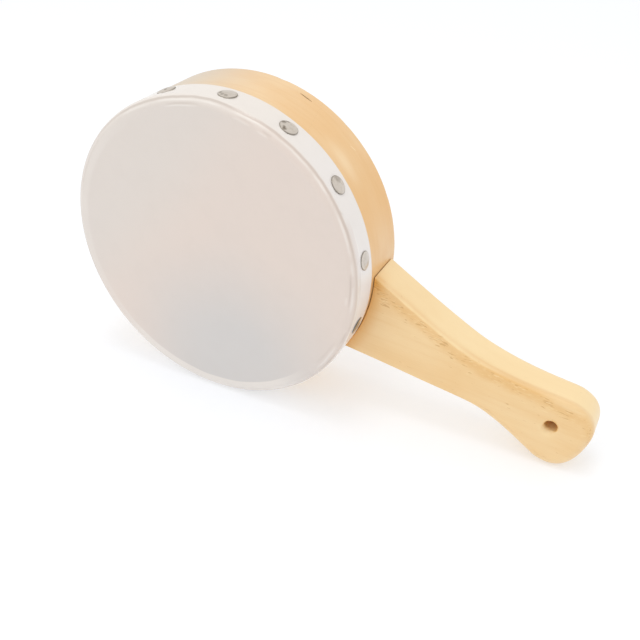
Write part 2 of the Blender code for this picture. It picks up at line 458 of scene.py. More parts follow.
# The main fold all round, and where the film starts to lie on wood: degrees, and mm past the face's edge.
MAIN_FOLD_AT = (
    (-170.0, 3.2), (-60.0, 3.4), (-25.0, 4.0), (-4.0, 4.9), (27.0, 5.1), (42.0, 5.4), (56.0, 5.1),
    (67.0, 5.0), (75.0, 4.4), (86.0, 5.0), (92.0, 4.7), (100.0, 3.9), (115.0, 3.5), (180.0, 3.2),
)

# Shorter ridges (+) and grooves (-) of the gathered film: from and to in degrees, their places past the
# face's edge, their width and their height in mm.
FOLDS = (
    (104.5, 90.5, -0.20, 0.80, 0.25, 0.060),
    (104.0, 90.0, 0.75, 1.70, 0.30, -0.060),
    (107.0, 89.0, 2.60, 3.40, 0.45, 0.050),
    (124.0, 110.0, 2.10, 1.70, 0.35, 0.035),
    (90.0, 82.0, 3.40, 3.20, 0.35, 0.040),
    (77.0, 70.0, 1.10, 1.00, 0.35, 0.035),
    (76.0, 69.0, 2.10, 2.30, 0.30, -0.040),
    (77.0, 64.0, 3.20, 4.10, 0.35, 0.050),
    (67.5, 63.0, 1.00, 1.30, 0.35, 0.040),
    (66.0, 62.0, 2.20, 2.40, 0.35, -0.050),
    (60.0, 46.0, 3.90, 4.20, 0.35, 0.045),
    (45.0, 37.0, 4.30, 3.90, 0.40, 0.060),
    (30.5, 28.5, 5.60, 7.00, 0.30, -0.050),
    (30.0, 15.0, 3.90, 3.30, 0.40, 0.045),
    (13.0, 7.5, 3.20, 3.30, 0.40, 0.045),
    (9.0, -4.5, 2.30, 1.60, 0.30, -0.095),
    (4.0, -7.0, 3.00, 2.80, 0.40, 0.060),
    (0.0, -4.0, 0.40, 0.20, 0.35, 0.035),
    (9.0, -1.0, 6.20, 6.00, 0.45, 0.050),
    (9.0, -3.0, 8.30, 8.10, 0.30, -0.045),
    (22.0, 3.0, 9.50, 9.90, 0.35, 0.060),
    (-15.0, -21.0, 3.40, 3.20, 0.40, -0.060),
    (-21.0, -36.0, 0.30, -0.60, 0.40, -0.035),
    (-22.0, -37.0, 1.80, 1.50, 0.40, 0.055),
    (-26.0, -38.0, 3.90, 3.60, 0.55, -0.055),
    (-60.0, -84.0, 1.60, 1.90, 0.35, -0.045),
    (-104.0, -131.0, 1.20, 1.70, 0.35, -0.045),
    (-150.0, -172.0, 1.80, 1.40, 0.35, -0.040),
    (166.0, 139.0, 1.10, 1.60, 0.35, -0.045),
)
FOLD_FULL = 0.075  # a fold of this height, in mm, has its full painted highlight on a ridge and full painted shade in a groove
PUCKER_FROM, PUCKER_TO = 6.8, 10.4  # the pleat at each tack, in mm past the face's edge
DIMPLE_DEPTH = 0.06 * MM  # the film is pressed in around each tack


def head_profile(reach):
    """Point and outward direction in the (radius, y) plane, at this distance past the face's edge."""
    if reach <= 0.0:
        return (FACE_EDGE + reach, FACE_Y), (0.0, -1.0)
    if reach <= BEND:
        bend = reach / SHOULDER
        return ((FACE_EDGE + SHOULDER * sin(bend), FACE_Y + SHOULDER * (1.0 - cos(bend))),
                (sin(bend), -cos(bend)))
    return (HEAD_RADIUS, FACE_Y + SHOULDER + reach - BEND), (1.0, 0.0)


def fold_height(angle, past):
    """Height of the short folds here, in mm."""
    height = 0.0
    for start, end, at_start, at_end, width, rise in FOLDS:
        along = turn_between(start, angle) / (start - end)
        if 0.0 < along < 1.0:
            line = lerp(at_start, at_end, along) + 0.14 * wobble(along * 4.0, start)
            height += rise * sin(pi * along) ** 0.6 * bell(past - line, width)
    return height


def fold_middle(angle):
    """Where the main fold runs here, in mm past the face's edge: its line wavers a little."""
    turned = radians(angle)
    wander = 0.15 * around(turned, 14.0, 2.0) + 0.16 * around(turned, 27.0, 6.0)
    return line_through(MAIN_FOLD_AT, turn_between(angle, 0.0)) + wander


def main_fold(angle, past):
    """Height of the main fold here, in mm: a groove with a ridge before it, deepest at the upper right."""
    turned = radians(angle)
    middle = fold_middle(angle)
    strength = 0.45 + 0.55 * within(8.0, 30.0, 112.0, 140.0, angle)
    strength *= 1.0 - 0.6 * within(-62.0, -45.0, -3.0, 7.0, angle)
    strength *= 1.0 + 0.45 * around(turned, 8.0, 5.0)
    return strength * (0.036 * bell(past - middle + 1.25, 0.50) - 0.112 * bell(past - middle, 0.44))


def from_tack(angle, tacks):
    """Degrees from the nearest tack."""
    nearest = min(tacks, key=lambda at: abs(turn_between(angle, at)))
    return turn_between(angle, nearest)


def pleats(angle, past, tacks):
    """Where each tack pulls on the film, a short pleat runs from it towards the face."""
    away = from_tack(angle, tacks) * radians(1.0) * HEAD_RADIUS / MM
    share = within(PUCKER_FROM, PUCKER_TO, PUCKER_TO, PUCKER_TO + 1.2, past)
    return share * (0.060 * bell(away - 0.3, 0.65) - 0.045 * bell(away + 1.2, 0.50))


def folded(angle, reach, tacks):
    """Height of all the folds here, in mm."""
    past = reach / MM
    return main_fold(angle, past) + fold_height(angle, past) + pleats(angle, past, tacks)


def head_relief(angle, reach, tacks):
    """How far the film stands out from its smooth profile, in metres."""
    turned = radians(angle)
    past = reach / MM
    height = folded(angle, reach, tacks)
    band = smooth(5.5, 8.0, past)
    height += band * 0.030 * around(turned, 7.0, past * 0.12)
    face = smooth(0.5, -6.0, past)
    place = Vector((cos(turned), sin(turned), 0.0)) * (FACE_EDGE + reach)
    height += face * 0.035 * wobble(place.x * 28.0, place.y * 28.0, 4.0)
    return clamp(height, -0.4, 0.09) * MM


def fold_highlight_and_shade(angle, reach, tacks):
    """From -1 in a groove, painted as shade, to 1 on a ridge, painted as a highlight."""
    return clamp(folded(angle, reach, tacks) / FOLD_FULL, -1.0)


def tack_place(name):
    """The middle of a tack: x and z from the drum's axis, and y."""
    low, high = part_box(name)
    return (low[0] + high[0]) / 2, (low[2] + high[2]) / 2 - AXIS_HEIGHT, (low[1] + high[1]) / 2


def tack_angle(name):
    x, z, _ = tack_place(name)
    return degrees(atan2(z, x))


def tack_dimple(angle, reach, tacks):
    """The film is pressed in a little around each tack, whose middle is at y = 0."""
    y = FACE_Y + SHOULDER + reach - BEND
    distance = hypot(radians(from_tack(angle, tacks)) * HEAD_RADIUS, y)
    return -DIMPLE_DEPTH * smooth(7.0 * MM, 4.4 * MM, distance)


RING_FROM = -2.5  # where the film first touches the wood, in mm
GREYEST_AT = (0.012, -0.056)  # on the face, from the drum's axis
HALF_LAID = (0.0, 2.0, 23.5, 27.5)  # in these directions it lies on the wood only further on


def over_wood(angle, reach):
    """How much the wood behind it lightens the film, from 0 to 1."""
    past = reach / MM
    turned = radians(angle)
    middle = fold_middle(angle)
    band = smooth(middle + 0.35, middle + 1.15, past + 0.15 * around(turned, 12.0, 1.0))
    half = within(*HALF_LAID, angle)
    band *= 1.0 - 0.62 * half * smooth(9.7, 8.9, past + 0.3 * around(turned, 20.0, 4.0))
    low = within(-150.0, -118.0, -62.0, -40.0, turn_between(angle, 0.0))
    left = smooth(112.0, 150.0, angle) + smooth(-120.0, -160.0, angle)
    edge = RING_FROM + 0.25 * around(turned, 7.0, 7.0)
    ring = 0.80 * low * smooth(edge - 0.25, edge + 0.25, past)
    ring += 0.32 * clamp(left) * smooth(edge - 1.0, edge + 1.0, past) * smooth(2.4, 0.2, past)
    return clamp(max(band, ring))


def on_face(angle, reach):
    """Place across the face: x and z from the drum's axis."""
    turned = radians(angle)
    return (FACE_EDGE + reach) * cos(turned), (FACE_EDGE + reach) * sin(turned)


def warm_share(angle, reach):
    """The film's tint: warm, but greyer low down."""
    x, z = on_face(angle, reach)
    away = dist((x, z), GREYEST_AT)
    return clamp(1.0 - smooth(0.076, 0.012, away) + 0.06 * wobble(x * 40.0, z * 40.0, 9.0))


def pale_share(angle, reach):
    """At the upper left the film is a shade paler and less warm."""
    x, z = on_face(angle, reach)
    return smooth(-0.008, -0.052, x * 0.75 - z * 0.65 + 0.004 * wobble(x * 30.0, z * 30.0, 3.0))


def right_share(angle):
    """The band is a shade cooler round the right, most of all by the handle."""
    right = 0.35 * smooth(75.0, 42.0, angle) + 0.65 * smooth(22.0, -8.0, angle)
    return right * smooth(-60.0, -30.0, angle)


def make_head(material):
    """The film: face, bend and band as one thin closed skin."""
    tacks = [tack_angle(name) for name in TACKS]
    columns = 540
    reaches = steps(-FACE_EDGE, -FACE_EDGE / 8, 14, 0) + steps(-FACE_EDGE / 8, -4.0 * MM, 8)
    reaches += steps(-4.0 * MM, 0.0, 16) + steps(0.0, BEND, 36) + steps(BEND, HEAD_END, 34)
    inside = steps(HEAD_END, BEND, 8, 0) + steps(BEND, 0.0, 8) + steps(0.0, -FACE_EDGE, 12)
    count = len(reaches) + len(inside)
    points, marks = [], []
    for i in range(columns):
        angle = -180.0 + 360.0 * i / columns
        turned = radians(angle)
        ragged = 0.10 * MM * around(turned, 11.0, 3.0)
        for k, reach in enumerate(reaches + inside):
            (radius, y), (out_radius, out_y) = head_profile(reach)
            on_top = k < len(reaches)
            lift = head_relief(angle, reach, tacks) if on_top else -FILM_THICKNESS
            if on_top and reach > BEND:
                lift += tack_dimple(angle, reach, tacks)
            y += ragged * smooth(BEND, HEAD_END, reach)
            points.append(on_drum(max(radius + out_radius * lift, 0.0), turned, y + out_y * lift))
            marks.append({
                "wood": over_wood(angle, reach),
                "warm": warm_share(angle, reach),
                "pale": pale_share(angle, reach),
                "fold": fold_highlight_and_shade(angle, reach, tacks) if on_top else 0.0,
                "rim": smooth(HEAD_END - 0.5 * MM, HEAD_END, reach),
                "cool": smooth(5.0, 8.0, reach / MM) * right_share(angle),
            })
    mesh = mesh_from("head", points, faces_between(columns, count))
    store(mesh, marks)
    weld(mesh)
    piece = add_piece("head_skin", mesh, material, "head_film", "drum_head")
    sharpen(piece, radians(50))
    return piece


# ---------------- the tacks

TACK_RADIUS = 4.3 * MM
TACK_HEIGHT = 0.90 * MM
TACK_FALL = 0.50 * MM  # from the middle of the dome to where its edge rolls over
TACK_ROLL = 0.75 * MM  # width of the rolled edge
TACK_LIP = 0.09 * MM  # height of the rolled edge's outermost line
TACK_COLUMNS = 72
SAME_TACK = 9.0  # a table's row is for the tack within these degrees
# Scuffs on the plating, partly dark reflections painted onto the domes: the tack's direction round the
# drum; the mark's direction on the tack, from 0 towards lower directions and 90 towards the back; its
# reach and its size in head radii; its strength.
TACK_MARKS = (
    (109.0, 300.0, 0.28, 0.15, 0.9),
    (85.0, 195.0, 0.72, 0.15, 1.0),
    (85.0, 240.0, 0.60, 0.18, 0.55),
    (85.0, 285.0, 0.60, 0.18, 0.50),
    (61.0, 165.0, 0.80, 0.24, 0.9),
    (61.0, 130.0, 0.86, 0.18, 0.8),
    (61.0, 258.0, 0.75, 0.18, 0.9),
    (61.0, 240.0, 0.62, 0.14, 0.7),
    (37.0, 150.0, 0.75, 0.45, 0.45),
    (10.0, 0.0, 0.10, 0.75, 0.16),
    (10.0, 40.0, 0.60, 0.22, 0.20),
    (-17.0, 250.0, 0.50, 0.55, 0.5),
    (-75.0, 120.0, 0.60, 0.20, 0.6),
    (-130.0, 20.0, 0.55, 0.30, 0.4),
    (170.0, 70.0, 0.65, 0.18, 0.7),
)


def tack_profile():
    """From the middle of the dome out to the rolled edge and back underneath."""
    domed = TACK_RADIUS - TACK_ROLL
    points = [(domed * share, TACK_HEIGHT - TACK_FALL * share ** 2.1) for share in steps(0.0, 1.0, 14, 0)]
    for turned in steps(0.0, pi / 2, 10):
        height = lerp(TACK_HEIGHT - TACK_FALL, TACK_LIP, 1.0 - cos(turned) ** 0.85)
        points.append((domed + TACK_ROLL * sin(turned), height))
    underside = [(TACK_RADIUS - 0.05 * MM, 0.0), (TACK_RADIUS - 0.40 * MM, 0.04 * MM), (0.0, 0.04 * MM)]
    return points + underside


# Direction round the drum, lean towards, degrees, and how much deeper and further back it sits.
TACK_LEANS = ((109.0, 290.0, 4.5, 0.0, 0.0), (-17.0, 70.0, 5.5, 0.18 * MM, 0.55 * MM))


def lean_of(direction, draw):
    """How far askew, how deep and how far back a tack was driven in."""
    for at, turned, lean, sunk, shifted in TACK_LEANS:
        if abs(turn_between(direction, at)) < SAME_TACK:
            axis = Vector((-sin(radians(turned)), cos(radians(turned)), 0.0))
            return Matrix.Rotation(radians(lean), 4, axis), sunk, shifted
    lean = Matrix.Rotation(radians(draw.uniform(-1.6, 1.6)), 4, 'X')
    return lean @ Matrix.Rotation(radians(draw.uniform(-1.6, 1.6)), 4, 'Y'), 0.0, 0.0


def tack_mark(direction, reach, angle):
    """How scuffed this place on a tack is, with its painted dark reflection, from 0 to 1."""
    place = Vector((cos(angle), sin(angle))) * (reach / TACK_RADIUS)
    found = 0.0
    for at, turned, out, size, strength in TACK_MARKS:
        if abs(turn_between(direction, at)) < SAME_TACK:
            middle = Vector((cos(radians(turned)), sin(radians(turned)))) * out
            away = (place - middle).length * (1.0 + 0.25 * wobble(place.x * 4.0, place.y * 4.0, at))
            found += strength * smooth(1.5 * size, 0.6 * size, away)
    return clamp(found)


def tack_skin(direction, seed):
    """Points and marks of one plated head, with its own small dents and scuffs."""
    points, marks = [], []
    for i in range(TACK_COLUMNS):
        angle = 2.0 * pi * i / TACK_COLUMNS
        for reach, height in tack_profile():
            mark = tack_mark(direction, reach, angle)
            right, up = reach * cos(angle), reach * sin(angle)
            dent = 0.016 * MM * wobble(right * 420.0, up * 420.0, seed)
            dent += 0.005 * MM * wobble(right * 1100.0, up * 1100.0, seed + 9.0)
            dent -= 0.03 * MM * mark
            worked = height + (dent if height > 0.2 * MM else 0.0)
            grown = reach * (1.0 + 0.006 * around(angle, 1.5, seed))
            points.append(Vector((grown * cos(angle), grown * sin(angle), worked)))
            marks.append({
                "edge": smooth(TACK_RADIUS - 0.45 * MM, TACK_RADIUS - 0.12 * MM, reach),
                # scuffs, partly painted dark reflection
                "scuff_and_dark_reflection": mark,
            })
    return points, marks


def make_tack(name, draw, material):
    """One plated head, seated on the band a little askew."""
    x, z, y = tack_place(name)
    outwards = Vector((x, 0.0, z)).normalized()
    direction = tack_angle(name)
    points, marks = tack_skin(direction, draw.uniform(0.0, 50.0))
    tilt, sunk, shifted = lean_of(direction, draw)
    back = Vector((0.0, 1.0, 0.0))
    stand = Matrix((back.cross(outwards), back, outwards)).transposed().to_4x4()
    foot = Vector((0.0, y + shifted, AXIS_HEIGHT)) + outwards * (HEAD_RADIUS - 0.03 * MM - sunk)
    place = Matrix.Translation(foot) @ stand @ tilt
    faces = faces_between(TACK_COLUMNS, len(points) // TACK_COLUMNS)
    mesh = mesh_from(name, [place @ point for point in points], faces)
    store(mesh, marks)
    weld(mesh)
    piece = add_piece(name.replace("tack", "tack_head"), mesh, material, "tack_metal", name)
    sharpen(piece, radians(60))
    return piece


# ---------------- the handle

# Each edge of the outline as Bezier stretches from the drum to the tip: four points of (u, v).
UPPER_EDGE = (
    ((0.0640, 0.0230), (0.0840, 0.0191), (0.1129, 0.0122), (0.1271, 0.0122)),
    ((0.1271, 0.0122), (0.1498, 0.0122), (0.1697, 0.01935), (0.1747, 0.01935)),
    ((0.1747, 0.01935), (0.18505, 0.01935), (0.1897, 0.01345), (0.1897, 0.0003)),
)
LOWER_EDGE = (
    ((0.0640, -0.0239), (0.0840, -0.0197), (0.1272, -0.01115), (0.1389, -0.01115)),
    ((0.1389, -0.01115), (0.1511, -0.01115), (0.1701, -0.01875), (0.1751, -0.01875)),
    ((0.1751, -0.01875), (0.18517, -0.01875), (0.1897, -0.01284), (0.1897, 0.0003)),
)


def bezier(stretch, t):
    a, b, c, d = (Vector(point) for point in stretch)
    s = 1.0 - t
    return a * s ** 3 + b * (3 * s * s * t) + c * (3 * s * t * t) + d * t ** 3


class Edge:
    """One edge of the outline, asked for by its share of the whole length."""

    def __init__(self, stretches, inwards):
        self.inwards = inwards
        self.points = []
        for stretch in stretches:
            self.points += [bezier(stretch, step / 200) for step in range(200)]
        self.points.append(bezier(stretches[-1], 1.0))
        self.lengths = [0.0]
        for before, after in zip(self.points, self.points[1:]):
            self.lengths.append(self.lengths[-1] + (after - before).length)

    def at(self, share):
        goal = clamp(share) * self.lengths[-1]
        i = min(bisect(self.lengths, goal), len(self.lengths) - 1)
        before, after = self.lengths[i - 1], self.lengths[i]
        return self.points[i - 1].lerp(self.points[i], (goal - before) / max(after - before, 1e-12))

    def normal(self, share):
        """Direction across the outline, into the handle."""
        if share >= 0.9999:
            return Vector((-1.0, 0.0))
        step = 0.002
        along = (self.at(share + step) - self.at(share - step)).normalized()
        return Vector((along.y, -along.x)) * self.inwards


UPPER = Edge(UPPER_EDGE, 1.0)
LOWER = Edge(LOWER_EDGE, -1.0)
UPPER_PLACES = [point.x for point in UPPER.points]


def upper_edge_at(u):
    """Height of the upper outline over the handle's middle line."""
    i = int(clamp(bisect(UPPER_PLACES, u), 1, len(UPPER_PLACES) - 1))
    before, after = UPPER.points[i - 1], UPPER.points[i]
    return lerp(before.y, after.y, clamp((u - before.x) / max(after.x - before.x, 1e-9)))


def edge_round(share, u, upper, front):
    """Radius of the rounding at a place on the outline: it grows towards the tip."""
    grown = smooth(EDGE_ROUND_FROM, EDGE_ROUND_TO, u)
    own = lerp(EDGE_ROUND_ROOT, FRONT_ROUND_END if front and upper else EDGE_ROUND_END, grown)
    return lerp(own, TIP_ROUND, smooth(0.84, 1.0, share)) if front else own


def to_drum(u, v, depth):
    """From the handle's own frame to the drum's; depth counts towards the back."""
    v += HANDLE_LIFT
    return Vector((u * cos(DROOP) + v * sin(DROOP), HANDLE_MIDDLE_Y + depth,
                   AXIS_HEIGHT - u * sin(DROOP) + v * cos(DROOP)))


# How finely the board is divided: over each rounding, over a face, over a side and along its length.
ROUND_STEPS = 10
FACE_STEPS = 26
SIDE_STEPS = 12
LENGTH_STEPS = 230
ALONG, OVER, BEHIND = (1, 0, 0), (0, 1, 0), (0, 0, 1)  # a step to the next row, column or level


def across(share, column, front=True):
    """One place on the handle's front or back half, as (u, v) and height: column counts from the lower
    side, over the lower rounding, the face and the upper rounding, to the upper side."""
    if column <= ROUND_STEPS:
        edge, turn = LOWER, column / ROUND_STEPS * pi / 2
    elif column >= ROUND_STEPS + FACE_STEPS:
        edge, turn = UPPER, (2 * ROUND_STEPS + FACE_STEPS - column) / ROUND_STEPS * pi / 2
    else:
        low, _ = across(share, ROUND_STEPS, front)
        high, _ = across(share, ROUND_STEPS + FACE_STEPS, front)
        part = (column - ROUND_STEPS) / FACE_STEPS
        return low.lerp(high, part), HANDLE_THICKNESS / 2
    point = edge.at(share)
    rounding = edge_round(share, point.x, edge is UPPER, front)
    point = point + edge.normal(share) * rounding * (1.0 - cos(turn))
    return point, HANDLE_THICKNESS / 2 - rounding * (1.0 - sin(turn))


def seat_share(column):
    """Where this line of the handle meets the shell."""
    seat = SHELL_RADIUS + SEAT_GAP
    low, high = 0.0, 0.25
    for _ in range(40):
        middle = (low + high) / 2
        point, _ = across(middle, column)
        if hypot(point.x, point.y + HANDLE_LIFT) < seat:
            low = middle
        else:
            high = middle
    return (low + high) / 2


def make_handle(material):
    """A waisted board, fitted to the shell, with roundings that grow towards its free end."""
    last = 2 * ROUND_STEPS + FACE_STEPS
    starts = [seat_share(column) for column in range(last + 1)]
    rows = steps(0.0, 1.0, LENGTH_STEPS, 0)
    rows = [lerp(row * row * 0.25, row, smooth(0.0, 0.05, row)) for row in rows]  # closer at the drum
    points, faces, index = [], [], {}

    def vertex(i, column, level):
        """Number of this vertex; level runs from 0 at the front to SIDE_STEPS at the back."""
        key = (i, column, level)
        if key not in index:
            share = lerp(starts[column], 1.0, rows[i])
            point, front_height = across(share, column)
            behind, back_height = across(share, column, False)
            along = level / SIDE_STEPS
            point = point.lerp(behind, along)
            depth = lerp(-front_height, back_height, along)
            ease = SEAT_EASE * clamp(1.0 - rows[i] / SEAT_EASE_SHARE) ** 1.5
            point.y *= 1.0 - ease / HALF_HEIGHT_AT_SEAT
            depth *= 1.0 - ease / (HANDLE_THICKNESS / 2)
            index[key] = len(points)
            points.append(to_handle_surface(point, depth))
        return index[key]

    def add_face(first, second, *corner):
        """A face between a corner and the places one step away from it, first and second."""
        both = tuple(map(sum, zip(first, second)))
        faces.append([vertex(*map(sum, zip(corner, step))) for step in ((0, 0, 0), first, both, second)])

    for i in range(LENGTH_STEPS):
        for column in range(last):
            for level in (0, SIDE_STEPS):
                add_face(ALONG, OVER, i, column, level)
        for column in (0, last):
            for level in range(SIDE_STEPS):
                add_face(ALONG, BEHIND, i, column, level)
    for column in range(last):
        for level in range(SIDE_STEPS):
            add_face(OVER, BEHIND, 0, column, level)
    mesh = mesh_from("handle", points, faces)
    weld(mesh, 0.002 * MM)
    piece = add_piece("handle_wood", mesh, material, "handle_wood", "handle")
    bore(piece)
    mark_handle(piece.data)
    sharpen(piece, radians(38))
    weigh_normals(piece)
    return piece


INSIDE_CAD = 0.9965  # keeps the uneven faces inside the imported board's thickness


def to_handle_surface(point, depth):
    """Hand sanding leaves the broad faces very slightly uneven."""
    uneven = 0.05 * MM * wobble(point.x * 55.0, point.y * 90.0, depth * 60.0)
    deep = depth * INSIDE_CAD + 0.6 * uneven * (depth / (10 * MM))
    place = to_drum(point.x, point.y + uneven, deep)
    place.z = max(place.z, 0.01 * MM)
    return place


BORE_ROOM = 3 * MM  # how far the boring tool stands out of the board


def boring_tool():
    """What is cut away for the hanging hole: its edge is softly broken on both faces."""
    half = HANDLE_THICKNESS / 2
    columns = 64
    points = []
    for i in range(columns):
        angle = 2.0 * pi * i / columns
        worn = clamp(cos(angle - HOLE_WORN))
        ease = HOLE_EASE + HOLE_WEAR * worn ** 1.5
        profile = [(0.0, -half - BORE_ROOM), (HOLE_RADIUS + ease + BORE_ROOM, -half - BORE_ROOM)]
        for turned in steps(0.0, pi / 2, 6, 0):
            lowered = ease * (1.0 - cos(turned)) - 0.02 * MM
            profile.append((HOLE_RADIUS + ease * (1.0 - sin(turned)), -half + lowered))
        rows = profile + [(radius, -depth) for radius, depth in reversed(profile)]
        for radius, depth in rows:
            rough = 0.03 * MM * wobble(cos(angle) * 3.0, sin(angle) * 3.0, depth * 500.0)
            reach = radius + (rough if 0.0 < radius < HOLE_RADIUS + 2 * ease else 0.0)
            u, v = HOLE_CENTRE[0] + reach * cos(angle), HOLE_CENTRE[1] + reach * sin(angle)
            points.append(to_drum(u, v, depth))
    mesh = mesh_from("bore", points, faces_between(columns, len(rows)))
    weld(mesh)
    return placed("bore", mesh)


def bore(piece):
    """Cut the hanging hole."""
    cutter = boring_tool()
    cut = piece.modifiers.new("bore", 'BOOLEAN')
    cut.operation = 'DIFFERENCE'
    cut.solver = 'EXACT'
    cut.object = cutter
    bored = bpy.data.meshes.new_from_object(piece.evaluated_get(bpy.context.evaluated_depsgraph_get()))
    piece.modifiers.remove(cut)
    piece.data = bored
    bpy.data.objects.remove(cutter)


def to_handle(point):
    """From the drum's frame to the handle's own: u, v and depth."""
    x, z = point.x, point.z - AXIS_HEIGHT
    u = x * cos(DROOP) - z * sin(DROOP)
    v = x * sin(DROOP) + z * cos(DROOP)
    return u, v - HANDLE_LIFT, point.y - HANDLE_MIDDLE_Y


TONE_LINE = ((0.060, 0.0240), (0.128, 0.0125), (0.150, 0.0152), (0.165, 0.0163), (0.171, 0.0168),
             (0.178, 0.0180), (0.192, 0.0185))
# Groups of open pores on the front: their places (u, v), half-lengths and strengths, in mm.
PORE_GROUPS = (
    (80.0, 12.5, 4.0, 1.0), (85.5, 15.5, 3.4, 1.0), (88.5, 18.0, 1.8, 0.8), (92.5, 10.5, 1.8, 0.8),
    (94.5, 16.0, 3.0, 0.8), (99.5, 13.5, 3.2, 1.0), (99.0, 5.0, 1.4, 0.7), (105.0, 10.5, 2.2, 0.9),
    (111.0, 11.5, 3.4, 1.0), (110.5, 7.5, 1.8, 1.0), (119.0, 7.5, 2.6, 1.0), (125.0, 3.6, 1.0, 1.0),
    (128.0, 11.0, 3.0, 0.7), (129.0, 4.0, 1.6, 0.7), (138.5, 12.0, 2.8, 0.8), (140.5, 8.0, 2.0, 0.6),
    (145.5, 13.0, 1.8, 0.8), (151.0, 13.0, 3.2, 0.9), (151.0, 0.5, 1.4, 0.6), (155.5, 7.5, 2.0, 0.7),
    (164.0, 14.0, 3.2, 0.9), (165.5, 9.0, 2.0, 0.6), (174.0, 16.0, 2.0, 1.0), (185.0, 10.5, 1.4, 0.9),
)
UNDER_HOLE = (HOLE_CENTRE[0] + 0.3 * MM, HOLE_CENTRE[1] - 4.2 * MM)  # a paler spot
SEAM_SHOWS = (-15.5, -12.5)  # the seam turns from faint to dark between these directions


def tone_line_at(u):
    """Height of the line under which the front is toned darker, over the handle's middle line."""
    line = line_through(TONE_LINE, u, soft=False)
    ragged = (0.35 * wobble(u * 190.0, 6.0) + 0.30 * wobble(u * 470.0, 6.0)) * MM
    return min(line + ragged * smooth(0.135, 0.150, u), upper_edge_at(u) - 0.2 * MM)


def pore_share(u, v):
    """How porous the front is at this place, from 0 to 1."""
    found = 0.0
    for at_u, at_v, half, strength in PORE_GROUPS:
        away = hypot((u / MM - at_u) / half, (v / MM - at_v) / (0.45 * half + 0.5))
        found = max(found, strength * smooth(1.5, 0.4, away))
    return found


def painted_hole_light(u, v, depth):
    """Painted light in the hole: its lower lip, and its wall on the side of the tip, painted paler where
    light comes in.
    """
    angle = degrees(atan2(v - HOLE_CENTRE[1], u - HOLE_CENTRE[0]))
    inwards = depth + HANDLE_THICKNESS / 2
    lip = bell(turn_between(angle, -105.0), 40.0) * smooth(3.4 * MM, 1.2 * MM, inwards)
    wall = bell(turn_between(angle, -55.0), 32.0) * smooth(8.0 * MM, 2.0 * MM, inwards)
    return clamp(lip + 0.4 * wall)


def streak_share(u, below):
    """The darker streak under the tone line, softer and then fainter towards the tip."""
    wander = 0.9 * MM * wobble(u * 130.0, 5.0) + 0.5 * MM * wobble(u * 420.0, 8.0)
    soft = lerp(0.35, 1.6, smooth(0.148, 0.166, u)) * MM
    streak = smooth(-0.3 * soft, soft, below) * smooth(7.5 * MM, 3.0 * MM, below + wander)
    return streak * (1.0 - 0.25 * smooth(0.172, 0.184, u))


def painted_highlight_and_pale_spot(u, v, depth, below, front):
    """Painted highlight along the tone line, painted sheen over the upper side, and a paler spot under the
    hole.
    """
    # painted highlight along the edge over the tone line
    ridge = bell(below + 0.3 * MM, 0.45 * MM) * smooth(3.0 * MM, 0.0, abs(depth + HANDLE_THICKNESS / 2))
    ridge *= 0.55 + 0.45 * smooth(-0.25, 0.25, wobble(u * 150.0, 7.0))
    ridge *= 0.55 * within(0.078, 0.090, 0.122, 0.150, u)
    # painted sheen: the upper side is painted paler, as the light falls on it
    top = (0.62 - 0.12 * smooth(0.125, 0.085, u)) * smooth(-7.5 * MM, -5.5 * MM, depth)
    top *= smooth(1.2 * MM, 0.4 * MM, upper_edge_at(u) - v) * smooth(0.0, 11.0 * MM, v)
    return max(ridge, top, 0.40 * front * bell(dist((u, v), UNDER_HOLE), 1.9 * MM))


def seam_shade_share(to_seat, direction, depth):
    """Painted shade of the gap at the ring: strong above, faint below and fainter towards the back."""
    seam = smooth(0.22 * MM, 0.04 * MM, to_seat - SEAT_GAP)
    seam *= 0.10 + 0.80 * smooth(*SEAM_SHOWS, direction)
    return clamp(seam * (1.0 - 0.45 * smooth(-3.0 * MM, 7.0 * MM, depth)))


def mark_handle(mesh):
    """Where the wood is toned, porous, pale (mostly painted light) or dark (painted shade): kept for the
    material to read.
    """
    grain, marks = [], []
    for vertex in mesh.vertices:
        u, v, depth = to_handle(vertex.co)
        x, z = vertex.co.x, vertex.co.z - AXIS_HEIGHT
        to_seat = hypot(x, z) - SHELL_RADIUS
        front = smooth(2.0 * MM, -5.0 * MM, depth)
        below = tone_line_at(u) - v
        root = 0.62 * smooth(8.5 * MM, 0.5 * MM, to_seat)
        thin = (0.50 + 0.25 * wobble(u * 90.0, v * 90.0, 2.0)) * bell(below - 3.8 * MM, 2.6 * MM)
        grain.append((u * cos(GRAIN_SLOPE) + v * sin(GRAIN_SLOPE),
                      v * cos(GRAIN_SLOPE) - u * sin(GRAIN_SLOPE), depth))
        in_hole = dist((u, v), HOLE_CENTRE) < HOLE_RADIUS + 0.30 * MM
        toned = clamp(0.40 * front * streak_share(u, below) + (0.10 + 0.90 * front) * root)
        marks.append({
            "toned": 0.8 if in_hole else toned,
            "porous": smooth(0.0, 0.7 * MM, below) * front * clamp(max(pore_share(u, v), thin)),
            "dark": seam_shade_share(to_seat, degrees(atan2(z, x)), depth),
            "pale": painted_hole_light(u, v, depth) if in_hole else painted_highlight_and_pale_spot(u, v, depth, below, front),
        })
    store_vectors(mesh, "grain", grain)
    store(mesh, marks)


# ---------------- materials

# A fine scratch in the lacquer, seen with the ring unrolled: along the ring, and y.
SCRATCH_AT = (radians(43.3) * SHELL_RADIUS, 0.0263)
SCRATCH_SLOPE = -0.39
SCRATCH_HALF = 1.9 * MM


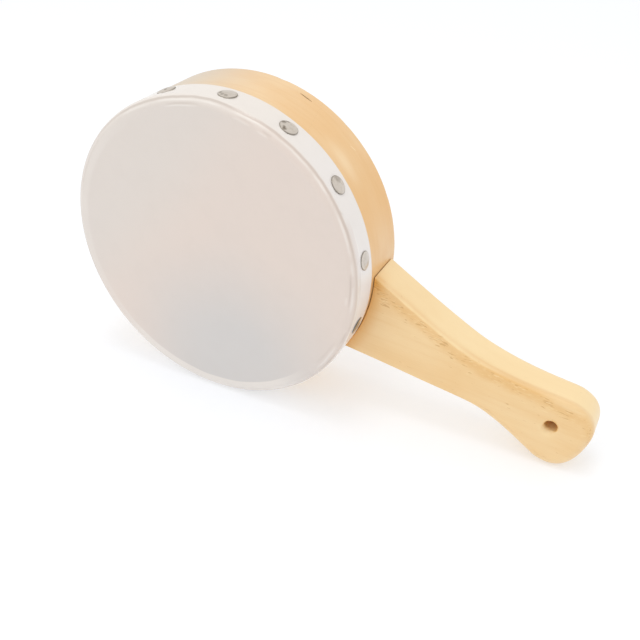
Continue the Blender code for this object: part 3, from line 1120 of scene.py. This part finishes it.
def fine_scratch(make, grain):
    """The share of the scratch at a place on the ring."""
    parts = make.add("ShaderNodeSeparateXYZ", {0: grain}).outputs
    along = make.math('SUBTRACT', parts[0], SCRATCH_AT[0])
    beside = make.math('SUBTRACT', make.math('SUBTRACT', parts[1], SCRATCH_AT[1]),
                       make.math('MULTIPLY', along, SCRATCH_SLOPE))
    line = make.between(make.math('ABSOLUTE', beside), 0.10 * MM, 0.45 * MM, 0.75, 0.0)
    reach = make.between(make.math('ABSOLUTE', along), 0.5 * SCRATCH_HALF, SCRATCH_HALF, 1.0, 0.0)
    return make.math('MULTIPLY', line, reach)


def wood_noises(make, grain, cloud, figure, fibre, distortion):
    """Broad clouds, the figure and the fine fibres, each stretched along the grain."""
    return (make.noise(grain, cloud, detail=2.0),
            make.noise(grain, figure, detail=4.0, distortion=distortion),
            make.noise(grain, fibre, detail=2.0))


def shell_wood():
    """Pale bent wood under a satin lacquer; the grain runs round the ring."""
    make = Nodes(bpy.data.materials.new("shell_wood"))
    grain = make.attribute("grain", vector=True)
    cloud, figure, fibre = wood_noises(make, grain, (34.0, 60.0, 20.0), (26.0, 420.0, 90.0),
                                       (150.0, 5200.0, 2000.0), 0.6)
    colour = make.mix(make.between(cloud, 0.32, 0.68), linear(236, 196, 143), linear(239, 206, 160))
    glue = make.between(make.math('ABSOLUTE', make.attribute("from_scarf")), 0.12, 0.45, 0.4, 0.0)
    colour = make.tinted(
        colour,
        (make.between(figure, 0.45, 0.78), 0.35, (226, 180, 120)),
        (make.between(fibre, 0.5, 0.8), 0.16, (205, 152, 92)),
        # painted highlight on the ring's lacquer
        ("pale", 1.0, (248, 222, 182)),
        (fine_scratch(make, grain), 1.0, (250, 222, 176)),
        # painted reflection of the pale room on the ring's upper left
        ("grey", 0.8, (207, 197, 182)),
        # partly the wood's own deeper tone, partly painted shade
        ("deep", 0.5, (234, 184, 118)),
        (make.math('MAXIMUM', glue, make.attribute("dark")), 1.0, (84, 44, 18)),
    )
    surface = make.bump(fibre, 0.012 * MM, 0.6, make.bump(figure, 0.05 * MM, 0.35))
    make.set(Base_Color=colour, Roughness=make.scaled(fibre, 0.12, 0.36), Normal=surface)
    make.set(Coat_Weight=0.12, Coat_Roughness=0.28)
    return make.owner


def handle_wood():
    """Straight-grained wood with small dark pores, sanded and lacquered."""
    make = Nodes(bpy.data.materials.new("handle_wood"))
    grain = make.attribute("grain", vector=True)
    cloud, figure, fibre = wood_noises(make, grain, (22.0, 70.0, 70.0), (16.0, 330.0, 260.0),
                                       (130.0, 3600.0, 3600.0), 0.8)
    pores = make.noise(grain, (250.0, 1600.0, 1600.0), detail=1.0, roughness=0.4)
    # painted highlights: light specks in the porous places, for the lit edges of the pores
    highlight_specks = make.noise(grain, (420.0, 1900.0, 1900.0), detail=1.0, roughness=0.4)
    threshold = make.between(make.attribute("porous"), 0.0, 1.0, 0.76, 0.53)
    pore = make.between(make.math('SUBTRACT', pores, threshold), 0.0, 0.035)
    highlight_speck = make.math('MULTIPLY', make.between(highlight_specks, 0.58, 0.66), make.attribute("porous"))
    colour = make.mix(make.between(cloud, 0.30, 0.70), linear(238, 200, 142), linear(242, 209, 156))
    colour = make.tinted(
        colour,
        (make.between(figure, 0.45, 0.75), 0.22, (228, 182, 118)),
        (make.between(fibre, 0.52, 0.8), 0.12, (205, 152, 88)),
        ("toned", 1.0, (226, 171, 86)),
        (pore, 0.48, (192, 138, 62)),
        # painted highlight specks
        (highlight_speck, 0.5, (252, 226, 172)),
        # painted highlights, painted sheen and painted light in the hole, and a paler spot under the hole
        ("pale", 1.0, (252, 228, 178)),
        # painted shade of the gap at the seam
        ("dark", 1.0, (104, 38, 0)),
    )
    surface = make.bump(fibre, 0.012 * MM, 0.6, make.bump(figure, 0.05 * MM, 0.35))
    surface = make.bump(make.math('MULTIPLY', pore, -1.0), 0.03 * MM, 0.7, surface)
    make.set(Base_Color=colour, Roughness=make.scaled(fibre, 0.12, 0.38), Normal=surface)
    make.set(Coat_Weight=0.45, Coat_Roughness=0.30)
    return make.owner


def head_film():
    """Milky film: the wood shows through where it lies on it, and the face is a shade greyer."""
    make = Nodes(bpy.data.materials.new("head_film"))
    place = make.place()
    mottle = make.noise(place, (130.0, 130.0, 130.0), detail=3.0)
    fine = make.noise(place, (900.0, 900.0, 900.0), detail=2.0)
    colour = make.mix(make.attribute("warm"), linear(208, 204, 201), linear(224, 210, 200))
    colour = make.tinted(
        colour,
        ("pale", 1.0, (220, 211, 203)),
        ("wood", 1.0, (233, 226, 219)),
        ("cool", 0.9, (243, 240, 241)),
        # painted highlights on the folds' ridges and painted shade in their grooves
        ("fold", 0.45, (250, 246, 240)),
        ("fold", -0.26, (166, 150, 137)),
        (make.between(mottle, 0.40, 0.75), 0.06, (200, 190, 180)),
        ("rim", 0.35, (214, 196, 170)),
    )
    surface = make.bump(fine, 0.004 * MM, 0.5, make.bump(mottle, 0.02 * MM, 0.3))
    make.set(Base_Color=colour, Roughness=make.scaled(mottle, 0.05, 0.205), Normal=surface)
    return make.owner


def tack_metal():
    """Thin nickel plate, dulled and a little stained towards the rolled edge."""
    make = Nodes(bpy.data.materials.new("tack_metal"))
    place = make.place()
    stain = make.noise(place, (700.0, 700.0, 700.0), detail=3.0)
    fine = make.noise(place, (3000.0, 3000.0, 3000.0), detail=2.0)
    colour = make.mix(make.between(stain, 0.40, 0.80), linear(220, 211, 201), linear(206, 197, 184))
    colour = make.tinted(
        colour,
        ("edge", 0.6, (112, 104, 92)),
        # scuffs, and dark reflections painted onto the domes
        ("scuff_and_dark_reflection", 0.8, (104, 90, 74)),
    )
    surface = make.bump(fine, 0.006 * MM, 0.6, make.bump(stain, 0.03 * MM, 0.5))
    make.set(Base_Color=colour, Roughness=make.between(stain, 0.3, 0.8, 0.29, 0.38), Normal=surface)
    make.set(Metallic=1.0)
    return make.owner


# ---------------- stage, light and camera

PALE_LIGHT = (1.0, 0.995, 0.985, 1.0)
FLOOR_COLOUR = (0.600, 0.622, 0.662, 1.0)
FLOOR_GLOW = 0.40  # a lit table: keeps the shadows on it faint
FLOOR_HALF = 4.0  # half the floor's side
ROOM_GLOW = 0.888
DARKER_GLOW = 0.95 * ROOM_GLOW  # behind the camera
# Square lights: name, place, side and watts.
LIGHTS = (("key", (-0.45, -0.80, 1.00), 0.9, 1.9), ("top", (0.00, -0.08, 1.30), 0.4, 2.2))
LIT_POINT = (0.04, 0.01, 0.07)  # what they point at
CAMERA_PLACE = (0.1931, -0.2939, 0.2670)
CAMERA_TURNED, CAMERA_LOWERED, CAMERA_ROLLED = radians(25.44), radians(33.6), radians(1.83)
CAMERA_LENS = 47.36
CAMERA_SENSOR = 36.0


def make_floor():
    side = FLOOR_HALF
    corners = [(-side, -side, 0.0), (side, -side, 0.0), (side, side, 0.0), (-side, side, 0.0)]
    mesh = mesh_from("floor", corners, [(0, 1, 2, 3)])
    make = Nodes(bpy.data.materials.new("pale_floor"))
    make.set(Base_Color=FLOOR_COLOUR, Roughness=0.85, Specular_IOR_Level=0.2)
    make.set(Emission_Color=PALE_LIGHT, Emission_Strength=FLOOR_GLOW)
    mesh.materials.append(make.owner)
    floor = placed("floor", mesh)


def square_light(name, place, side, power):
    light = bpy.data.lights.new(name, 'AREA')
    light.shape = 'SQUARE'
    light.size = side
    light.energy = power
    lamp = placed(name, light)
    lamp.location = place
    lamp.rotation_euler = (Vector(LIT_POINT) - Vector(place)).to_track_quat('-Z', 'Y').to_euler()


def make_world():
    """An even pale room, a shade darker behind the camera for the metal to reflect."""
    world = bpy.data.worlds.new("pale_room")
    bpy.context.scene.world = world
    make = Nodes(world, "Background")
    direction = make.add("ShaderNodeTexCoord").outputs["Generated"]
    inwards = make.add("ShaderNodeSeparateXYZ", {0: direction}).outputs["Y"]
    make.set(Color=PALE_LIGHT, Strength=make.between(inwards, -1.0, -0.35, DARKER_GLOW, ROOM_GLOW))


def make_camera():
    camera = bpy.data.cameras.new("camera")
    camera.sensor_width = CAMERA_SENSOR
    camera.lens = CAMERA_LENS
    camera.clip_start = 0.01
    seen = placed("camera", camera)
    level = cos(CAMERA_LOWERED)
    towards = Vector((-sin(CAMERA_TURNED) * level, cos(CAMERA_TURNED) * level, -sin(CAMERA_LOWERED)))
    turned = towards.to_track_quat('-Z', 'Y').to_matrix().to_4x4()
    rolled = Matrix.Rotation(CAMERA_ROLLED, 4, 'Z')
    seen.matrix_world = Matrix.Translation(CAMERA_PLACE) @ turned @ rolled
    bpy.context.scene.camera = seen


def main():
    bpy.context.scene.view_settings.view_transform = 'Standard'
    make_floor()
    make_world()
    for light in LIGHTS:
        square_light(*light)
    make_camera()

    make_shell(shell_wood())
    make_head(head_film())
    make_handle(handle_wood())
    metal = tack_metal()
    draw = random.Random(7)
    for name in TACKS:
        make_tack(name, draw, metal)


main()
